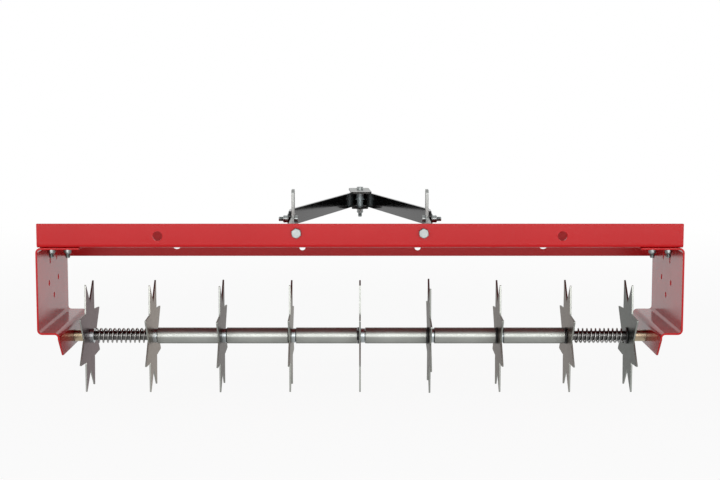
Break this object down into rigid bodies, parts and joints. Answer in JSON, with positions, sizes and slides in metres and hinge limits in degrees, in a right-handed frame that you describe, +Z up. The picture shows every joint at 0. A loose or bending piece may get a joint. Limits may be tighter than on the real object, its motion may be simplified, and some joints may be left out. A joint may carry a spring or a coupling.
{
  "type": "spike aerator",
  "caption": "Tow-behind lawn spike aerator: a weight tray on end brackets, spiked stars, tubes and springs on one axle, and a forked drawbar with a swivelling hitch plate.",
  "frame": {"origin": "on the ground, under the middle of the whole machine with its drawbar level", "axes": "+X to the right seen from behind, +Y forwards to the hitch, +Z up"},
  "size_m": [1.0208, 0.6328, 0.3302],
  "materials": {
    "red": "gloss powder coat",
    "black": "gloss paint",
    "bright_zinc": "zinc plate",
    "star_zinc": "galvanised",
    "tube_zinc": "satin zinc",
    "yellow_zinc": "yellow zinc plate",
    "dark_steel": "oiled steel",
    "black_nylon": "nylon"
  },
  "bodies": {
    "frame": {"tray": "red", "end_bracket_left": "red", "end_bracket_right": "red", "bracket_bolt_1": "bright_zinc", "bracket_bolt_2": "bright_zinc", "bracket_bolt_3": "bright_zinc", "bracket_bolt_4": "bright_zinc", "bracket_bolt_5": "bright_zinc", "bracket_bolt_6": "bright_zinc", "bracket_bolt_7": "bright_zinc", "bracket_bolt_8": "bright_zinc", "bushing_left": "yellow_zinc", "bushing_right": "yellow_zinc", "hitch_bracket_left": "bright_zinc", "hitch_bracket_right": "bright_zinc", "lip_bolt_left": "bright_zinc", "lip_bolt_right": "bright_zinc", "floor_bolt_left": "bright_zinc", "floor_bolt_right": "bright_zinc", "pivot_bolt_left": "bright_zinc", "pivot_bolt_right": "bright_zinc", "pivot_nut_left": "bright_zinc", "pivot_nut_right": "bright_zinc"},
    "axle": {"axle": "dark_steel", "axle_washer_left": "bright_zinc", "axle_washer_right": "bright_zinc", "cotter_pin_left": "bright_zinc", "cotter_pin_right": "bright_zinc", "spring_left": "dark_steel", "spring_right": "dark_steel"},
    "star_wheel_1": {"star_1": "star_zinc", "thrust_ring_1": "black_nylon"},
    "star_wheel_2": {"star_2": "star_zinc", "thrust_ring_2": "black_nylon"},
    "star_wheel_3": {"star_3": "star_zinc", "thrust_ring_3": "black_nylon"},
    "star_wheel_4": {"star_4": "star_zinc", "thrust_ring_4": "black_nylon"},
    "star_wheel_5": {"star_5": "star_zinc", "thrust_ring_5": "black_nylon"},
    "star_wheel_6": {"star_6": "star_zinc", "thrust_ring_6": "black_nylon"},
    "star_wheel_7": {"star_7": "star_zinc", "thrust_ring_7": "black_nylon"},
    "star_wheel_8": {"star_8": "star_zinc", "thrust_ring_8": "black_nylon"},
    "star_wheel_9": {"star_9": "star_zinc", "thrust_ring_9": "black_nylon"},
    "tube_1": {"spacer_tube_1": "tube_zinc"},
    "tube_2": {"spacer_tube_2": "tube_zinc"},
    "tube_3": {"spacer_tube_3": "tube_zinc"},
    "tube_4": {"spacer_tube_4": "tube_zinc"},
    "tube_5": {"spacer_tube_5": "tube_zinc"},
    "tube_6": {"spacer_tube_6": "tube_zinc"},
    "drawbar": {"drawbar_yoke": "black", "nose_plate": "black", "nose_bolt": "bright_zinc", "nose_sleeve": "bright_zinc"},
    "hitch": {"hitch_plate": "bright_zinc"}
  },
  "joints": [
    {"name": "axle_spin", "type": "hinge", "parent": "frame", "child": "axle", "pos_m": [0, -0.1829, 0.09156], "axis": [1, 0, 0], "continuous": true},
    {"name": "star_spin_1", "type": "hinge", "parent": "frame", "child": "star_wheel_1", "pos_m": [-0.44975, -0.1829, 0.09156], "axis": [1, 0, 0], "continuous": true},
    {"name": "star_spin_2", "type": "hinge", "parent": "frame", "child": "star_wheel_2", "pos_m": [-0.3447, -0.1829, 0.09156], "axis": [1, 0, 0], "continuous": true},
    {"name": "star_spin_3", "type": "hinge", "parent": "frame", "child": "star_wheel_3", "pos_m": [-0.2298, -0.1829, 0.09156], "axis": [1, 0, 0], "continuous": true},
    {"name": "star_spin_4", "type": "hinge", "parent": "frame", "child": "star_wheel_4", "pos_m": [-0.1149, -0.1829, 0.09156], "axis": [1, 0, 0], "continuous": true},
    {"name": "star_spin_5", "type": "hinge", "parent": "frame", "child": "star_wheel_5", "pos_m": [0, -0.1829, 0.09156], "axis": [1, 0, 0], "continuous": true},
    {"name": "star_spin_6", "type": "hinge", "parent": "frame", "child": "star_wheel_6", "pos_m": [0.1149, -0.1829, 0.09156], "axis": [1, 0, 0], "continuous": true},
    {"name": "star_spin_7", "type": "hinge", "parent": "frame", "child": "star_wheel_7", "pos_m": [0.2298, -0.1829, 0.09156], "axis": [1, 0, 0], "continuous": true},
    {"name": "star_spin_8", "type": "hinge", "parent": "frame", "child": "star_wheel_8", "pos_m": [0.3447, -0.1829, 0.09156], "axis": [1, 0, 0], "continuous": true},
    {"name": "star_spin_9", "type": "hinge", "parent": "frame", "child": "star_wheel_9", "pos_m": [0.44595, -0.1829, 0.09156], "axis": [1, 0, 0], "continuous": true},
    {"name": "tube_spin_1", "type": "hinge", "parent": "frame", "child": "tube_1", "pos_m": [-0.3447, -0.1829, 0.09156], "axis": [1, 0, 0], "continuous": true},
    {"name": "tube_spin_2", "type": "hinge", "parent": "frame", "child": "tube_2", "pos_m": [-0.2298, -0.1829, 0.09156], "axis": [1, 0, 0], "continuous": true},
    {"name": "tube_spin_3", "type": "hinge", "parent": "frame", "child": "tube_3", "pos_m": [-0.1149, -0.1829, 0.09156], "axis": [1, 0, 0], "continuous": true},
    {"name": "tube_spin_4", "type": "hinge", "parent": "frame", "child": "tube_4", "pos_m": [0, -0.1829, 0.09156], "axis": [1, 0, 0], "continuous": true},
    {"name": "tube_spin_5", "type": "hinge", "parent": "frame", "child": "tube_5", "pos_m": [0.1149, -0.1829, 0.09156], "axis": [1, 0, 0], "continuous": true},
    {"name": "tube_spin_6", "type": "hinge", "parent": "frame", "child": "tube_6", "pos_m": [0.2298, -0.1829, 0.09156], "axis": [1, 0, 0], "continuous": true},
    {"name": "drawbar_pitch", "type": "hinge", "parent": "frame", "child": "drawbar", "pos_m": [0, -0.1199, 0.28016], "axis": [1, 0, 0], "range_deg": [-8, 35]},
    {"name": "hitch_swivel", "type": "hinge", "parent": "drawbar", "child": "hitch", "pos_m": [0, 0.2681, 0.29416], "axis": [0, 0, 1], "continuous": true}
  ]
}
